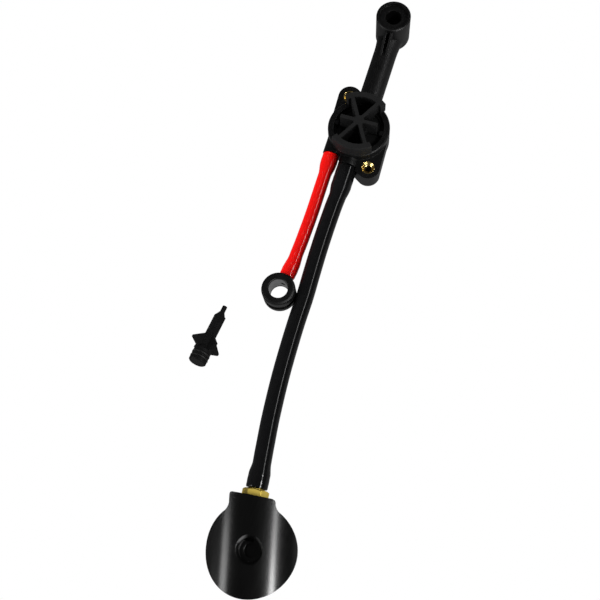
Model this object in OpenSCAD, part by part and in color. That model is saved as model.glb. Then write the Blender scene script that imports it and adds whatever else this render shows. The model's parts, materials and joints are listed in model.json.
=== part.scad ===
// Seacock valve: turning valve with inlet arm, drain ring, hoses, outlet cowl and loose plug.
// Millimetres. Origin on the valve axis at its base, +Z up, +Y along the inlet arm.

/* [Valve body] */
// outside diameter of the drum
drum_d = 43; // [42:0.5:44.5]
// height of the drum to the top of its rim
drum_h = 19.4; // [19:0.2:20.4]
// width of the rim round the recess
rim_w = 4.2; // [3.8:0.1:4.3]
// diameter of the rotor chamber
chamber_d = 26; // [25.4:0.2:26.4]
// thickness of the chamber floor
floor_t = 3; // [2.4:0.1:3.4]
// height of the waterway axis
port_z = 8.6; // [8.4:0.1:8.8]
// height of the ledge that carries the bonnet
ledge_z = 13.9; // [13.6:0.1:14.4]
// bore of the waterway
water_d = 5.2; // [4.6:0.2:5.2]

/* [Ears] */
// distance between the two ear holes
ear_pcd = 56.2; // [55.2:0.2:59]
// diameter of an ear
ear_d = 16.4; // [15.6:0.2:17.4]
// height of an ear
ear_h = 13; // [11:0.5:14]
// direction of the first ear from +X
ear_angle = 119.5; // [119:0.5:126]
// outside diameter of a brass insert
insert_d = 9.2; // [8.6:0.2:9.4]
// hole of a brass insert
insert_bore_d = 5.1; // [4.1:0.1:5.3]

/* [Hose tails] */
// sideways place of the straight tail
main_x = -0.6; // [-0.9:0.1:-0.3]
// sideways place of the side tail
side_x = -14; // [-14.2:0.1:-13.8]
// distance from the valve axis to the straight tail's shoulder
main_reach = 26; // [25:0.5:27]
// distance from the valve axis to the side tail's shoulder
side_reach = 20.2; // [20:0.2:22]
// length of the straight tail
main_len = 20; // [18:1:22]
// length of the side tail
side_len = 17; // [15:1:18]
// largest barb diameter of the straight tail
main_barb_d = 10.4; // [10:0.1:10.6]
// largest barb diameter of the side tail
side_barb_d = 8.8; // [8.4:0.1:9]

/* [Inlet arm] */
// outside diameter of the arm
arm_d = 16.5; // [15.8:0.1:16.6]
// waterway of the arm
arm_bore_d = 8; // [6:0.5:9]
// distance from the valve axis to the socket axis
arm_reach = 86; // [80:1:95]
// outside diameter of the upright socket
socket_d = 24.4; // [23:0.2:26]
// height of the socket's mouth
socket_top = 28; // [26:0.5:31]
// bore of the socket
socket_bore_d = 11.3; // [9:0.1:12]
// diameter of the shallow recess at the socket's mouth
socket_recess_d = 20.3; // [19:0.1:21]
// depth of the shallow recess
socket_recess = 2.2; // [1:0.2:3]
// thickness of a gusset rib
gusset_t = 1.6; // [1.2:0.2:2]
// slot between the two gusset ribs
gusset_gap = 2.4; // [1.6:0.2:3]
// distance from the socket axis to the foot of the gusset ribs
gusset_run = 26; // [22:1:28]

/* [Turning handle] */
// diameter over the two wings
handle_d = 44; // [42:0.5:45]
// height of the handle's top
handle_top = 30.2; // [28.5:0.1:32]
// opening angle of one wing
wing_angle = 80; // [72:1:84]
// width of a wing's wall
wing_w = 4.2; // [3:0.1:5]
// thickness of a rib
rib_t = 2.5; // [1.8:0.1:3]
// reach of the two short ribs
short_rib = 13; // [10:0.2:13.4]
// diameter of the hub at its top
hub_d = 7.2; // [5:0.2:9]
// diameter of the hub's foot
hub_foot_d = 13; // [12:0.5:14]
// diameter of the cross pin
pin_d = 2; // [1.6:0.1:2.4]

/* [Rotor] */
// diameter of the spindle
spindle_d = 9; // [8.8:0.1:9.2]
// width of the spindle's square
square_w = 6.2; // [5.6:0.1:6.2]
// thickness of the bonnet
bonnet_t = 1.8; // [1.7:0.1:1.9]
// quarter turn between the two stops
turn = 90; // [80:5:100]

/* [Hoses] */
// outside diameter of the black hose
black_d = 12; // [11.4:0.1:12.2]
// bore of the black hose
black_bore_d = 8; // [7:0.2:8.6]
// outside diameter of the red hose
red_d = 9; // [8.4:0.1:9.4]
// bore of the red hose
red_bore_d = 6; // [5:0.2:6.4]

/* [Drain ring] */
// outside diameter of the ring
ring_d = 22.8; // [22:0.1:23]
// height of the ring
ring_h = 16.5; // [15.5:0.5:17.5]
// bore of the ring's sleeve
sleeve_bore_d = 12.8; // [12.7:0.1:13]
// wall of the ring's sleeve
sleeve_t = 1; // [0.8:0.1:1.2]
// depth of the groove round the ring
ring_groove = 1.6; // [1:0.1:2]
// height of the groove round the ring
ring_groove_h = 5.6; // [4.6:0.2:6.2]

/* [Brass fitting] */
// width of the hex across its flats
hex_af = 15; // [13:0.2:15]
// length of the hex
hex_len = 7; // [6:0.5:9]
// diameter of the collar at the hose end
collar_d = 11.4; // [11:0.1:12]
// diameter of the thread in the cowl
thread_d = 10; // [8:0.5:10]
// length of the thread in the cowl
thread_len = 11; // [8:0.5:12]

/* [Outlet cowl] */
// diameter of the cowl's round end
cowl_d = 57.6; // [55:0.2:60]
// width of the cowl's neck
neck_w = 29; // [27:0.5:32]
// radius of the cowl's arch
arch_r = 36; // [34:0.5:40]
// thickness of the cowl's shell
cowl_t = 2.4; // [1.8:0.1:2.5]
// hole for the holding screw
screw_d = 8.5; // [6.5:0.1:9]
// recess for the screw's head
head_d = 14.6; // [13:0.1:15]

/* [Loose plug] */
// diameter of the plug's barrel
plug_d = 12; // [11.6:0.1:12.2]
// length of the plug
plug_len = 45; // [42:0.5:48]
// reach of a fin from the plug's axis
fin_reach = 11.9; // [11:0.1:12.6]
// thickness of a fin
fin_t = 1.6; // [1.2:0.1:2.2]

/* [Fits] */
// gap at each side of a fixed fit
fit_gap = 0.05; // [0.03:0.01:0.08]
// gap at each side of a turning fit
run_gap = 0.06; // [0.04:0.01:0.08]
// clear space kept between neighbouring moulded faces
clear = 0.4; // [0.3:0.05:0.5]

/* [Hidden] */
$fn = 72;
eps = 0.01;
drum_r = drum_d / 2;
recess_r = drum_r - rim_w;
chamber_r = chamber_d / 2;
water_r = water_d / 2;
edge = 0.7;

// heights of the stack on the ledge
bonnet_top = ledge_z + bonnet_t;
foot_ring_t = 1.2;
foot_ring_w = 1.7;
snap_depth = 0.45;
snap_t = 0.8;
snap_z = bonnet_top + 0.2;
snap_room = 0.1;
snap_root = 1;
bonnet_seal_t = 0.55;
spindle_seal_t = 0.5;
tab_in = recess_r - 2.6;
tab_w = 3;
tab_drop = 0.2;

// port seals and arm spigot
seal_r = 5;
seal_end = chamber_r + 1.2;
spigot_r = 4.9;
spigot_start = chamber_r + 2;
arm_r = arm_d / 2;
arm_shoulder = recess_r + snap_depth + clear;
arm_seal_y = spigot_start + 1;
arm_seal_t = 0.55;

// rotor
rotor_lift = 0.15;
rotor_foot = floor_t + rotor_lift;
washer_t = 0.5;
washer_gap = 0.05;
rotor_top = ledge_z - washer_t - 2 * washer_gap;
washer_r = chamber_r - 2;
rotor_r = chamber_r - run_gap;
oring_t = 0.6;
oring_low = rotor_foot + 1.1;
oring_high = rotor_top - 1.05;
oring_room = 0.05;
spindle_r = spindle_d / 2;
square_foot = bonnet_top + 0.2;
key_out = chamber_r - 2;
key_in = key_out - 3;
key_drop = 1.4;
key_half = 15;
key_room = 0.2;
stop_slack = 0.4;
branch_r = 2.2;

// handle
handle_r = handle_d / 2;
handle_foot = bonnet_top + clear;
wing_foot = drum_h + clear + 0.1;
rib_foot_r = tab_in - clear;
rib_inset = 10;
rib_dir = 90 - wing_angle / 2 + rib_inset;
square_top = handle_foot + 5.3;
hub_foot_top = square_top + 1.5;
pin_z = handle_foot + 2.8;
pin_dir = 28;
pin_over = 0.2;

// inserts
insert_lift = 0.3;
insert_land = 0.4;
insert_sink = 1.9;

// inlet arm
socket_r = socket_d / 2;
socket_foot = 0.4;
socket_round = 3;
flare_start = 20;
flare_len = 14;
flare_rise = 1.6;
flare_r = (pow(flare_len, 2) + pow(flare_rise, 2)) / (2 * flare_rise);
gusset_drop = 2.5;
bore_step = 1.3;

// hose ends
barb_step = 5;
barb_ease = 0.8;
barb_land = 0.3;
stretch_wall = 0.92;
shoulder_main_r = 7;
shoulder_side_r = 6.2;
hose_room = 2.4;
arm_room = 0.3;

// drain ring
ring_x = -18.2;
ring_y = -126;
ring_z = 0.3;
ring_axis_z = 7.5;
stub_dir = 83;
stub_r = 4.4;
stub_len = 12;
stub_barb_d = 8.4;
stub_sink = 0.6;
stub_over = 0.3;
ring_r = ring_d / 2;
ring_round = 1.6;
ring_ease = 0.45;
sleeve_r = sleeve_bore_d / 2 + sleeve_t;
lip_r = sleeve_bore_d / 2 + fit_gap;
lip_top = 1;
lip_foot = 2;
lip_flare = 0.6;
sleeve_foot = lip_foot + fit_gap;
sleeve_end = ring_h - lip_top - fit_gap;
cross_hole_r = 1.6;

// outlet cowl, placed by its screw hole
cowl_x = 16.6;
cowl_y = -290.2;
cowl_turn = 15;
neck_long = 35;
neck_short = 30.8;
neck_slope = (neck_short - neck_long) / neck_w;
neck_round = 1.8;
neck_ease = 0.5;

// brass fitting, placed on the cowl's neck by the middle of its hex
fit_across = 0.95;
fit_along = neck_long + 0.06;
fit_lean = -9;
fit_x = cowl_x + fit_across * cos(cowl_turn) - fit_along * sin(cowl_turn);
fit_y = cowl_y + fit_across * sin(cowl_turn) + fit_along * cos(cowl_turn);
fit_z = 7.9;
fit_dir = 90 + cowl_turn + fit_lean;
hex_back = 5;
collar_len = 0.4;
hex_face_r = hex_af / 2 - 0.35;
fit_barb_len = 16;
fit_washer_t = 0.6;
fit_washer_d = hex_af - 1;
fit_end = hex_len - hex_back + collar_len;

// shape of the outlet cowl
cowl_r = cowl_d / 2;
cowl_lift = 0.03;
crown_z = arch_r - sqrt(pow(arch_r - cowl_t, 2) - pow(cowl_r, 2)) + cowl_lift;
neck_fillet = 8;
neck_bite = 0.1;
neck_cx = neck_w / 2 + neck_fillet;
neck_cy = sqrt(pow(cowl_r + neck_fillet, 2) - pow(neck_cx, 2));
touch = cowl_r / (cowl_r + neck_fillet);
post_r = 10;
head_z = 8;
screw_floor = 2;
rim_flare = 2;
block_w = 17;
block_foot = 0.6;
block_len = thread_len + 1;

// loose plug, placed by the middle of its base, resting on two fins and its tip
plug_x = -54.5;
plug_y = -188.4;
plug_dir = -4;
plug_r = plug_d / 2;
barrel_len = 10;
shank_r = 4.1;
shank_ease = 3;
tip_r = 1.65;
tip_len = 4.5;
tip_cone = 3.5;
fin_back = 12.9;
fin_land = 1.4;
fin_front = 21.5;
fin_low = (fin_reach + fin_t / 2) * sin(45);
plug_tilt = -atan((fin_low - tip_r) / (plug_len - fin_back - fin_land));
plug_lift = 0.1;
plug_z = tip_r * cos(plug_tilt) - plug_len * sin(plug_tilt) + plug_lift;
groove_1 = 3.4;
groove_2 = 6.2;
plug_seal_t = 0.75;
plug_seal_over = 0.25;

// routes of the hoses, valve end first, with the two ends in line with what they are pushed on
hose_gap = 0.3;
black_route = [
  on_main(hose_gap), on_main(8), on_main(15.5), on_main(19.5), [-0.8, -50, 8.5],
  [-1.1, -54, 8.3], [-1.5, -64, 7.8], [-1.8, -78, 7], [-1.8, -92, 6.4], [-1.4, -108, 6.2],
  [-0.9, -124, 6.2], [-1, -142, 6.2], [-0.6, -161, 6.2], [0.1, -178, 6.2], [1.5, -197, 6.3],
  [3, -212, 6.7], [4.6, -224, 7.3], [5.7, -232, 7.8],
  on_fitting(16.2), on_fitting(8), on_fitting(hose_gap)
];
red_route = [
  on_side(hose_gap), on_side(7), on_side(12), on_side(17), [side_x, -44, 8.5], [-14, -52, 8.3],
  [-14, -60, 8], [-14.1, -69, 7.8], [-14.4, -79, 7.6], [-14.8, -90, 7.5], [-15.2, -97, 7.5],
  on_stub(12.2), on_stub(6), on_stub(hose_gap)
];
hose_sides = 12;

// points on the axes of the hose tails, at a distance from the shoulder
function on_main(d) = [main_x, -main_reach - d, port_z];
function on_side(d) = [side_x, -side_reach - d, port_z];
function on_stub(d) = [
  ring_x + (ring_r + stub_over + d) * cos(stub_dir),
  ring_y + (ring_r + stub_over + d) * sin(stub_dir),
  ring_axis_z
];
function on_fitting(d) = [
  fit_x + (fit_end + d) * cos(fit_dir),
  fit_y + (fit_end + d) * sin(fit_dir),
  fit_z
];

function unit(v) = v / norm(v);
function along(p, i) = unit(p[min(i + 1, len(p) - 1)] - p[max(i - 1, 0)]);
function across(p, i) = unit(cross(along(p, i), [0, 0, 1]));
function upward(p, i) = cross(across(p, i), along(p, i));
function round_at(p, i, r) = [
  for (k = [0:hose_sides - 1])
    p[i] + r * (cos(360 * k / hose_sides) * across(p, i) + sin(360 * k / hose_sides) * upward(p, i))
];
function tube_points(p, r) = [for (i = [0:len(p) - 1]) each round_at(p, i, r[i])];

// radius at each station: wide over the first and last ends, plain between, eased at the change
function hose_radii(n, plain, first, first_n, last, last_n) = [
  for (i = [0:n - 1])
    i < first_n ? first
    : i >= n - last_n ? last
    : i == first_n ? (first + plain) / 2
    : plain
];

// triangles of the skin between two stations, outward or inward
function skin(m, base, flip) = [
  for (i = [0:m - 2], k = [0:hose_sides - 1], half = [0, 1])
    let (
      a = base + i * hose_sides + k,
      b = base + i * hose_sides + (k + 1) % hose_sides,
      c = b + hose_sides,
      d = a + hose_sides,
      t = half == 0 ? [a, b, c] : [a, c, d]
    )
    flip ? [t[0], t[2], t[1]] : t
];

// triangles of the annular end at a station
function end_face(base, inner, flip) = [
  for (k = [0:hose_sides - 1], half = [0, 1])
    let (
      a = base + k,
      b = base + (k + 1) % hose_sides,
      c = b + inner,
      d = a + inner,
      t = half == 0 ? [a, d, c] : [a, c, b]
    )
    flip ? [t[0], t[2], t[1]] : t
];

// hollow hose swept along a route
module hose(route, outer, inner) {
  m = len(route);
  n = m * hose_sides;
  polyhedron(
    points = concat(tube_points(route, outer), tube_points(route, inner)),
    faces = concat(
      skin(m, 0, false),
      skin(m, n, true),
      end_face(0, n, false),
      end_face(n - hose_sides, n, true)
    )
  );
}

// half section of a solid barbed tail: plain neck at the root, then barbs to the free end
module barb_section(barb_r, length) {
  neck_r = barb_r - barb_ease;
  count = floor(length / barb_step);
  pitch = length / count;
  corners = [[barb_r, barb_land], [barb_r, 2 * barb_land], [neck_r, pitch]];
  polygon(concat(
    [[0, 0], [neck_r, 0], [neck_r, pitch]],
    [for (i = [1:count - 1], c = corners) [c[0], i * pitch + c[1]]],
    [[0, length]]
  ));
}

// ring of round section lying about Z
module torus(major, minor) {
  rotate_extrude() translate([major, 0]) circle(r = minor);
}

// moves a shape that grows along +Z to grow along -Y at a height
module toward_tail(x, z) {
  translate([x, 0, z]) rotate([90, 0, 0]) children();
}

// moves a shape that grows along +Z to grow along +Y at a height
module toward_arm(z) {
  translate([0, 0, z]) rotate([-90, 0, 0]) children();
}

module ear_outline() {
  reach = ear_pcd / 2;
  big = drum_r - clear;
  small = ear_d / 2;
  lean = acos((big - small) / reach);
  translate([reach, 0]) circle(r = small);
  polygon([
    [big * cos(lean), big * sin(lean)],
    [reach + small * cos(lean), small * sin(lean)],
    [reach + small * cos(lean), -small * sin(lean)],
    [big * cos(lean), -big * sin(lean)]
  ]);
}

module valve_body() color("#1b1b1d") difference() {
  union() {
    rotate_extrude() polygon([
      [0, 0], [drum_r - edge, 0], [drum_r, edge],
      [drum_r, drum_h - edge], [drum_r - edge, drum_h], [0, drum_h]
    ]);
    for (a = [ear_angle, ear_angle + 180])
      rotate([0, 0, a]) linear_extrude(ear_h) ear_outline();
    toward_tail(main_x, port_z) cylinder(r = shoulder_main_r, h = main_reach);
    toward_tail(side_x, port_z) cylinder(r = shoulder_side_r, h = side_reach);
    toward_tail(main_x, port_z) translate([0, 0, main_reach - eps])
      rotate_extrude() barb_section(main_barb_d / 2, main_len);
    toward_tail(side_x, port_z) translate([0, 0, side_reach - eps])
      rotate_extrude() barb_section(side_barb_d / 2, side_len);
  }
  // rotor chamber and recess, with the groove that the retaining ring snaps into
  rotate_extrude() polygon([
    [0, floor_t], [chamber_r, floor_t], [chamber_r, ledge_z], [recess_r, ledge_z],
    [recess_r, snap_z], [recess_r + snap_depth, snap_z],
    [recess_r + snap_depth, snap_z + snap_t + snap_room], [recess_r, snap_z + snap_t + snap_room],
    [recess_r, drum_h + 1], [0, drum_h + 1]
  ]);
  // stop groove in the floor
  translate([0, 0, floor_t - key_drop - rotor_lift])
    rotate([0, 0, 90 - key_half - stop_slack])
      rotate_extrude(angle = turn + 2 * key_half + 2 * stop_slack)
        translate([key_in - key_room, 0])
          square([key_out - key_in + 2 * key_room, key_drop + 1]);
  // waterways
  toward_tail(main_x, port_z) cylinder(r = water_r, h = main_reach + main_len + 1);
  toward_tail(side_x, port_z) translate([0, 0, -branch_r])
    cylinder(r = branch_r, h = branch_r + side_reach + side_len + 1);
  toward_arm(port_z) cylinder(r = water_r, h = drum_r + 1);
  // pockets of the port seals
  toward_arm(port_z) cylinder(r = seal_r + fit_gap, h = seal_end + fit_gap);
  toward_tail(main_x, port_z) cylinder(r = seal_r + fit_gap, h = seal_end + fit_gap);
  // seat of the inlet arm
  toward_arm(port_z) translate([0, 0, spigot_start - clear])
    cylinder(r = spigot_r + fit_gap, h = drum_r);
  toward_arm(port_z) translate([0, 0, arm_shoulder]) cylinder(r = arm_r + fit_gap, h = drum_r);
  toward_arm(port_z) translate([0, 0, drum_r]) cylinder(r = arm_r + arm_room, h = drum_r);
  // room for the black hose beside the ear
  toward_tail(main_x, port_z) translate([0, 0, main_reach])
    difference() {
      cylinder(r = main_barb_d / 2 + hose_room, h = main_len);
      cylinder(r = main_barb_d / 2 + eps, h = main_len);
    }
  // seats of the brass inserts
  for (a = [ear_angle, ear_angle + 180])
    rotate([0, 0, a]) translate([ear_pcd / 2, 0, -1])
      cylinder(r = insert_d / 2 + fit_gap, h = ear_h + 2);
}

module ear_inserts() color("#c9a84a")
  for (a = [ear_angle, ear_angle + 180])
    rotate([0, 0, a]) translate([ear_pcd / 2, 0, 0])
      rotate_extrude() polygon([
        [insert_bore_d / 2, insert_lift], [insert_d / 2, insert_lift], [insert_d / 2, ear_h],
        [insert_d / 2 - insert_land, ear_h], [insert_bore_d / 2, ear_h - insert_sink]
      ]);

module inlet_arm() color("#202022") difference() {
  union() {
    toward_arm(port_z) translate([0, 0, spigot_start])
      cylinder(r = spigot_r, h = arm_reach - spigot_start);
    toward_arm(port_z) translate([0, 0, arm_shoulder + fit_gap])
      cylinder(r = arm_r, h = arm_reach - arm_shoulder - fit_gap);
    // flare where the pipe runs into the socket
    toward_arm(port_z) translate([0, 0, arm_reach - flare_start])
      rotate_extrude() difference() {
        square([arm_r + flare_rise, flare_len]);
        translate([arm_r + flare_r, 0]) circle(r = flare_r, $fn = 180);
      }
    // upright socket with a rounded foot
    translate([0, arm_reach, 0]) rotate_extrude() {
      translate([0, socket_foot + socket_round])
        square([socket_r, socket_top - socket_foot - socket_round - edge]);
      translate([0, socket_foot]) square([socket_r - socket_round, 2 * socket_round]);
      translate([socket_r - socket_round, socket_foot + socket_round]) circle(r = socket_round);
      translate([0, socket_top - edge - eps])
        polygon([[0, 0], [socket_r, 0], [socket_r - edge, edge], [0, edge]]);
    }
    // gusset ribs
    for (s = [-1, 1])
      translate([s * (gusset_gap + gusset_t) / 2 - gusset_t / 2, 0, 0])
        rotate([90, 0, 90]) linear_extrude(gusset_t) polygon([
          [arm_reach - gusset_run, port_z],
          [arm_reach - gusset_run, port_z + arm_r],
          [arm_reach - socket_r, socket_top - gusset_drop],
          [arm_reach - socket_r + 2 * edge, socket_top - gusset_drop],
          [arm_reach - socket_r / 2, port_z + arm_r],
          [arm_reach - socket_r / 2, port_z]
        ]);
  }
  // flat under the flare
  translate([-socket_d, arm_reach - 2 * socket_d, -socket_d])
    cube([2 * socket_d, 3 * socket_d, socket_d + socket_foot - 0.1]);
  // waterway, elbow and socket
  toward_arm(port_z) cylinder(r = water_r, h = arm_reach);
  toward_arm(port_z) translate([0, 0, drum_r + 2]) cylinder(d = arm_bore_d, h = arm_reach - drum_r - 2);
  translate([0, arm_reach, port_z]) sphere(d = arm_bore_d);
  translate([0, arm_reach, port_z]) cylinder(d = arm_bore_d, h = socket_top);
  translate([0, arm_reach, port_z + arm_bore_d / 2 + bore_step])
    cylinder(d = socket_bore_d, h = socket_top);
  translate([0, arm_reach, socket_top - socket_recess])
    cylinder(d = socket_recess_d, h = socket_top);
  // groove of the arm seal
  toward_arm(port_z) translate([0, 0, arm_seal_y - arm_seal_t - oring_room])
    difference() {
      cylinder(r = spigot_r + 1, h = 2 * arm_seal_t + 2 * oring_room);
      cylinder(r = spigot_r - 2 * arm_seal_t, h = 2 * arm_seal_t + 2 * oring_room);
    }
}

module arm_seal() color("#111111")
  toward_arm(port_z) translate([0, 0, arm_seal_y])
    torus(spigot_r + fit_gap / 2 - arm_seal_t, arm_seal_t);

// cup between the rotor and a port
module port_seal() {
  difference() {
    cylinder(r = seal_r, h = seal_end);
    translate([0, 0, -1]) cylinder(r = water_r, h = seal_end + 2);
  }
}

module port_seals() color("#e8e4d8") difference() {
  union() {
    toward_arm(port_z) port_seal();
    toward_tail(main_x, port_z) port_seal();
  }
  cylinder(r = chamber_r + run_gap / 2, h = 2 * drum_h);
}

module rotor() color("#d8d2c0") difference() {
  union() {
    translate([0, 0, rotor_foot]) cylinder(r = rotor_r, h = rotor_top - rotor_foot);
    translate([0, 0, rotor_foot]) cylinder(r = spindle_r, h = square_foot - rotor_foot);
    translate([-square_w / 2, -square_w / 2, rotor_foot])
      cube([square_w, square_w, square_top - rotor_foot]);
    // stop key under the rotor
    translate([0, 0, floor_t - key_drop]) rotate([0, 0, 90 - key_half])
      rotate_extrude(angle = 2 * key_half)
        translate([key_in, 0]) square([key_out - key_in, key_drop + 1]);
  }
  // straight way and side way
  toward_arm(port_z) translate([0, 0, -drum_r]) cylinder(r = water_r, h = drum_d);
  translate([0, 0, port_z]) rotate([0, -90, 0]) cylinder(r = branch_r, h = drum_r);
  // seal grooves
  for (z = [oring_low, oring_high])
    translate([0, 0, z - oring_t - oring_room]) difference() {
      cylinder(r = rotor_r + 1, h = 2 * (oring_t + oring_room));
      cylinder(r = rotor_r - 2 * oring_t - oring_room, h = 2 * (oring_t + oring_room));
    }
  // pin hole
  translate([0, 0, pin_z]) rotate([0, 90, pin_dir])
    cylinder(d = pin_d + fit_gap, h = hub_foot_d + 2, center = true);
}

module rotor_seals() color("#151515")
  for (z = [oring_low, oring_high])
    translate([0, 0, z]) torus(rotor_r - oring_t, oring_t);

module thrust_washer() color("#efece2")
  translate([0, 0, rotor_top + washer_gap]) difference() {
    cylinder(r = washer_r, h = washer_t);
    translate([0, 0, -1]) cylinder(r = spindle_r + run_gap, h = washer_t + 2);
  }

module bonnet() color("#242426") translate([0, 0, ledge_z]) rotate_extrude() difference() {
  translate([spindle_r + run_gap, 0]) square([recess_r - fit_gap - spindle_r - run_gap, bonnet_t]);
  // grooves of the spindle seal and the bonnet seal
  translate([0, bonnet_t / 2 - spindle_seal_t - oring_room])
    square([spindle_r + run_gap + 2 * spindle_seal_t + oring_room, 2 * (spindle_seal_t + oring_room)]);
  translate([recess_r - fit_gap, bonnet_t / 2])
    square(2 * [2 * bonnet_seal_t + oring_room, bonnet_seal_t + oring_room], center = true);
}

module spindle_seal() color("#151515")
  translate([0, 0, ledge_z + bonnet_t / 2]) torus(spindle_r + run_gap + spindle_seal_t, spindle_seal_t);

module bonnet_seal() color("#151515")
  translate([0, 0, ledge_z + bonnet_t / 2])
    torus(recess_r - fit_gap - bonnet_seal_t, bonnet_seal_t);

module retaining_ring() color("#2a2a2c") translate([0, 0, bonnet_top]) {
  rotate_extrude() {
    translate([recess_r - foot_ring_w, 0]) square([foot_ring_w - fit_gap, foot_ring_t]);
    translate([recess_r - snap_root, snap_z - bonnet_top + fit_gap])
      square([snap_root + snap_depth - fit_gap, snap_t]);
  }
  intersection() {
    for (a = [0, 180])
      rotate([0, 0, a]) translate([tab_in, -tab_w / 2, 0])
        cube([rim_w, tab_w, drum_h - tab_drop - bonnet_top]);
    cylinder(r = recess_r - fit_gap, h = drum_h);
  }
}

module turning_handle() color("#1e1e20") difference() {
  union() {
    translate([0, 0, handle_foot]) cylinder(d = hub_foot_d, h = hub_foot_top - handle_foot);
    translate([0, 0, handle_foot]) cylinder(d = hub_d, h = handle_top - handle_foot);
    for (a = [rib_dir, 180 - rib_dir, 180 + rib_dir, -rib_dir]) rotate([0, 0, a]) {
      translate([0, -rib_t / 2, handle_foot])
        cube([rib_foot_r, rib_t, handle_top - handle_foot]);
      translate([0, -rib_t / 2, wing_foot])
        cube([handle_r - wing_w / 2, rib_t, handle_top - wing_foot]);
    }
    for (a = [0, 180]) rotate([0, 0, a])
      translate([0, -rib_t / 2, handle_foot])
        cube([short_rib, rib_t, handle_top - handle_foot]);
    for (a = [90, 270]) rotate([0, 0, a - wing_angle / 2])
      rotate_extrude(angle = wing_angle) polygon([
        [handle_r - wing_w, wing_foot], [handle_r - edge, wing_foot],
        [handle_r, wing_foot + edge], [handle_r, handle_top - edge],
        [handle_r - edge, handle_top], [handle_r - wing_w, handle_top]
      ]);
  }
  // socket for the spindle's square
  translate([-square_w / 2 - fit_gap, -square_w / 2 - fit_gap, 0])
    cube([square_w + 2 * fit_gap, square_w + 2 * fit_gap, square_top + clear]);
  // pin hole
  translate([0, 0, pin_z]) rotate([0, 90, pin_dir])
    cylinder(d = pin_d + fit_gap, h = hub_foot_d + 2, center = true);
}

module handle_pin() color("#b8babd")
  translate([0, 0, pin_z]) rotate([0, 90, pin_dir])
    cylinder(d = pin_d, h = hub_foot_d + 2 * pin_over, center = true);

module black_hose() color("#141416") {
  m = len(black_route);
  hose(
    black_route,
    hose_radii(m, black_d / 2, main_barb_d / 2 + (black_d - black_bore_d) / 2 * stretch_wall, 3,
      main_barb_d / 2 + (black_d - black_bore_d) / 2 * stretch_wall, 2),
    hose_radii(m, black_bore_d / 2, main_barb_d / 2, 3, main_barb_d / 2, 3)
  );
}

module red_hose() color("#d3140f") {
  m = len(red_route);
  hose(
    red_route,
    hose_radii(m, red_d / 2, side_barb_d / 2 + (red_d - red_bore_d) / 2 * stretch_wall, 2,
      stub_barb_d / 2 + (red_d - red_bore_d) / 2 * stretch_wall, 3),
    hose_radii(m, red_bore_d / 2, side_barb_d / 2, 3, stub_barb_d / 2, 3)
  );
}

module drain_ring() color("#18181a") translate([ring_x, ring_y, 0]) difference() {
  union() {
    translate([0, 0, ring_z]) rotate_extrude() difference() {
      polygon([
        [lip_r, 0], [ring_r - edge, 0], [ring_r, edge],
        [ring_r, ring_h - ring_round], [ring_r - ring_ease, ring_h - ring_ease],
        [ring_r - ring_round, ring_h], [lip_r + lip_flare, ring_h], [lip_r, ring_h - lip_flare],
        [lip_r, ring_h - lip_top], [sleeve_r + fit_gap, ring_h - lip_top],
        [sleeve_r + fit_gap, lip_foot], [lip_r, lip_foot]
      ]);
      translate([ring_r - ring_groove, ring_axis_z - ring_z - ring_groove_h / 2])
        square([ring_groove + 1, ring_groove_h]);
    }
    rotate([0, 0, stub_dir - 90]) toward_arm(ring_axis_z) {
      translate([0, 0, sleeve_r + stub_sink])
        cylinder(r = stub_r, h = ring_r + stub_over - sleeve_r - stub_sink);
      translate([0, 0, ring_r + stub_over - eps])
        rotate_extrude() barb_section(stub_barb_d / 2, stub_len);
    }
  }
  // waterway to the eye
  rotate([0, 0, stub_dir - 90]) toward_arm(ring_axis_z)
    cylinder(r = cross_hole_r, h = ring_r + stub_len + 1);
}

module ring_sleeve() color("#b4b6b8") translate([ring_x, ring_y, 0]) difference() {
  translate([0, 0, ring_z + sleeve_foot]) difference() {
    cylinder(r = sleeve_r, h = sleeve_end - sleeve_foot);
    translate([0, 0, -1]) cylinder(d = sleeve_bore_d, h = ring_h + 2);
  }
  rotate([0, 0, stub_dir - 90]) toward_arm(ring_axis_z) cylinder(r = cross_hole_r, h = ring_r);
}

// frame of the brass fitting: +Z of the children runs toward the hose
module at_fitting() {
  translate([fit_x, fit_y, fit_z]) rotate([0, 0, fit_dir - 90]) rotate([-90, 0, 0]) children();
}

module brass_fitting() color("#c8a548") at_fitting() difference() {
  union() {
    // hex with its outer corners turned off
    intersection() {
      translate([0, 0, -hex_back]) cylinder(d = hex_af / cos(30), h = hex_len, $fn = 6);
      translate([0, 0, -hex_back]) rotate_extrude() polygon([
        [0, -1], [hex_af, -1], [hex_af, hex_len - (hex_af - hex_face_r) * tan(30)],
        [hex_face_r, hex_len], [0, hex_len]
      ]);
    }
    translate([0, 0, hex_len - hex_back - eps]) cylinder(d = collar_d, h = collar_len + eps);
    translate([0, 0, fit_end - eps])
      rotate_extrude() barb_section(main_barb_d / 2, fit_barb_len);
    translate([0, 0, -hex_back - thread_len]) cylinder(d = thread_d, h = thread_len + eps);
  }
  translate([0, 0, -hex_back - thread_len - 1])
    cylinder(r = water_r, h = thread_len + hex_len + collar_len + fit_barb_len + 10);
}

module fitting_washer() color("#8a6a4a") at_fitting()
  translate([0, 0, -hex_back - fit_washer_t]) difference() {
    cylinder(d = fit_washer_d, h = fit_washer_t);
    translate([0, 0, -1]) cylinder(r = thread_d / 2 + fit_gap, h = fit_washer_t + 2);
  }

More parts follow.
